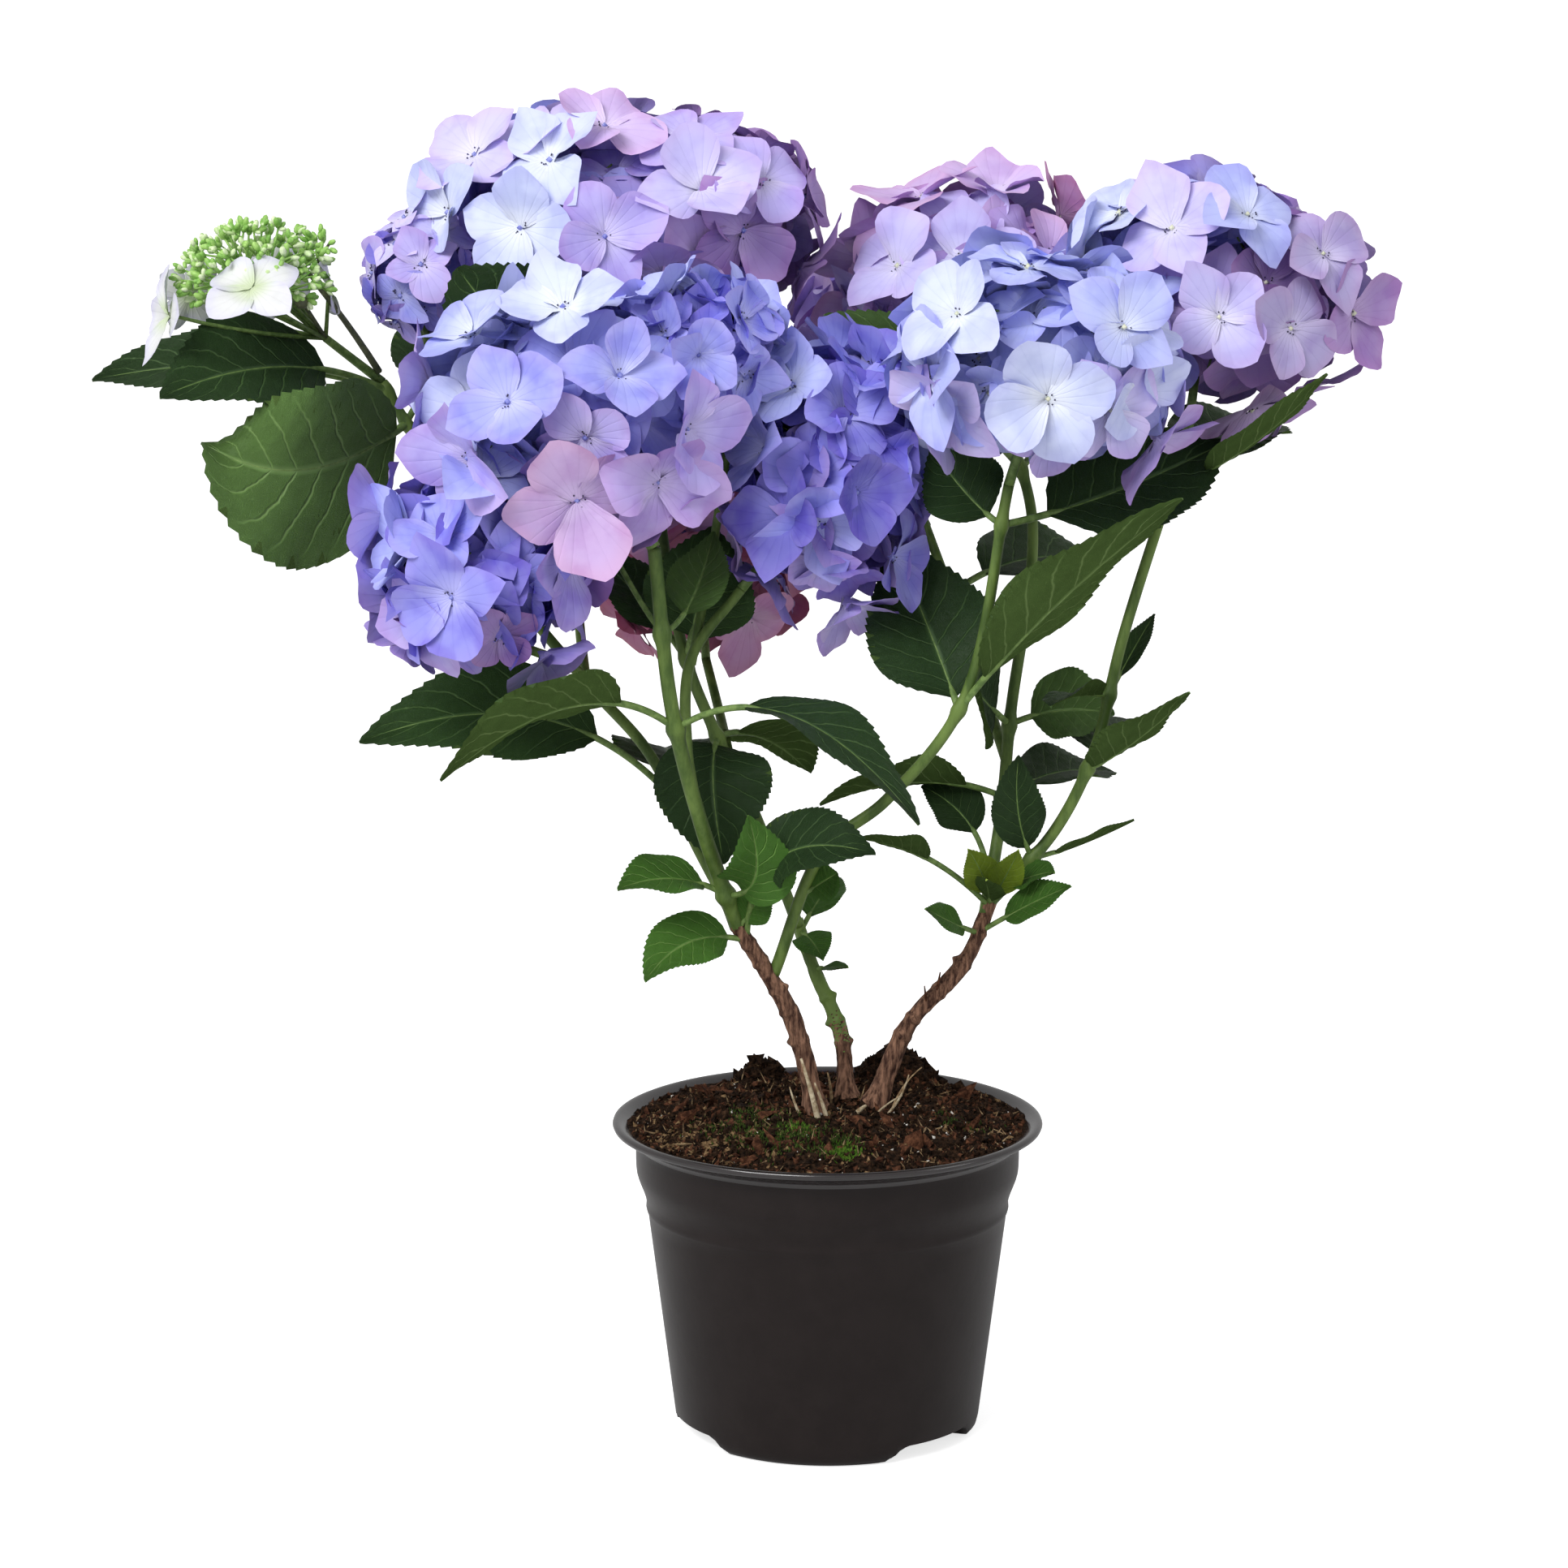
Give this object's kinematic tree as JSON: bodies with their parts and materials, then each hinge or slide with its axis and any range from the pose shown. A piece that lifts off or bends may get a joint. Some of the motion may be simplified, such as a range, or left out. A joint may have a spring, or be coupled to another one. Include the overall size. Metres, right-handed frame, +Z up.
{
  "type": "potted hydrangea",
  "caption": "Mophead hydrangea shrub in a round tapered nursery pot, with woody stems, green shoots, opposite leaves and round blue, violet and lilac flower heads.",
  "frame": {"origin": "on the ground, at the centre of the pot's underside", "axes": "+Z up along the pot's axis, -Y to the front, +X to the right as seen from the front"},
  "size_m": [0.5701, 0.3246, 0.602],
  "materials": {
    "pot_plastic": "satin charcoal black, moulded",
    "potting_soil": "dark bark and peat crumbs with white specks and patches of moss",
    "woody_bark": "reddish brown bark, matte, with pale lenticels",
    "green_shoot": "smooth green stem, satin",
    "foliage": "dark green, veined, satin",
    "violet_blossom": "soft violet blue petals, matte",
    "rose_blossom": "soft pinkish lilac petals, matte",
    "pale_blossom": "soft pale blue petals, matte",
    "young_blossom": "green buds with white sepals, matte"
  },
  "bodies": {
    "root": {"bloom_back_left": "violet_blossom", "bloom_back_middle": "rose_blossom", "bloom_back_right": "rose_blossom", "bloom_crown": "violet_blossom", "bloom_crown_side": "violet_blossom", "bloom_front": "violet_blossom", "bloom_front_low": "violet_blossom", "bloom_middle": "violet_blossom", "bloom_middle_high": "violet_blossom", "bloom_pale": "pale_blossom", "bloom_right": "pale_blossom", "bloom_rose": "rose_blossom", "bloom_young": "young_blossom", "leaves_back_left": "foliage", "leaves_back_right": "foliage", "leaves_crown_high": "foliage", "leaves_crown_low": "foliage", "leaves_crown_middle": "foliage", "leaves_far_left_end": "foliage", "leaves_far_left_low": "foliage", "leaves_far_left_middle": "foliage", "leaves_far_left_top": "foliage", "leaves_front_high": "foliage", "leaves_front_low": "foliage", "leaves_front_middle": "foliage", "leaves_left_foot": "foliage", "leaves_middle_foot": "foliage", "leaves_pale_high": "foliage", "leaves_pale_middle": "foliage", "leaves_right_foot": "foliage", "leaves_right_fork": "foliage", "leaves_right_high": "foliage", "leaves_right_low": "foliage", "leaves_right_middle": "foliage", "leaves_right_upper": "foliage", "leaves_rose_high": "foliage", "leaves_rose_low": "foliage", "leaves_rose_middle": "foliage", "pot": "pot_plastic", "shoot_back_left": "green_shoot", "shoot_back_middle": "green_shoot", "shoot_back_right": "green_shoot", "shoot_crown": "green_shoot", "shoot_crown_side": "green_shoot", "shoot_far_left": "green_shoot", "shoot_front": "green_shoot", "shoot_front_low": "green_shoot", "shoot_middle": "green_shoot", "shoot_middle_high": "green_shoot", "shoot_pale": "green_shoot", "shoot_right": "green_shoot", "shoot_rose": "green_shoot", "soil": "potting_soil", "woody_stem_left": "woody_bark", "woody_stem_middle": "woody_bark", "woody_stem_right": "woody_bark"}
  },
  "joints": []
}
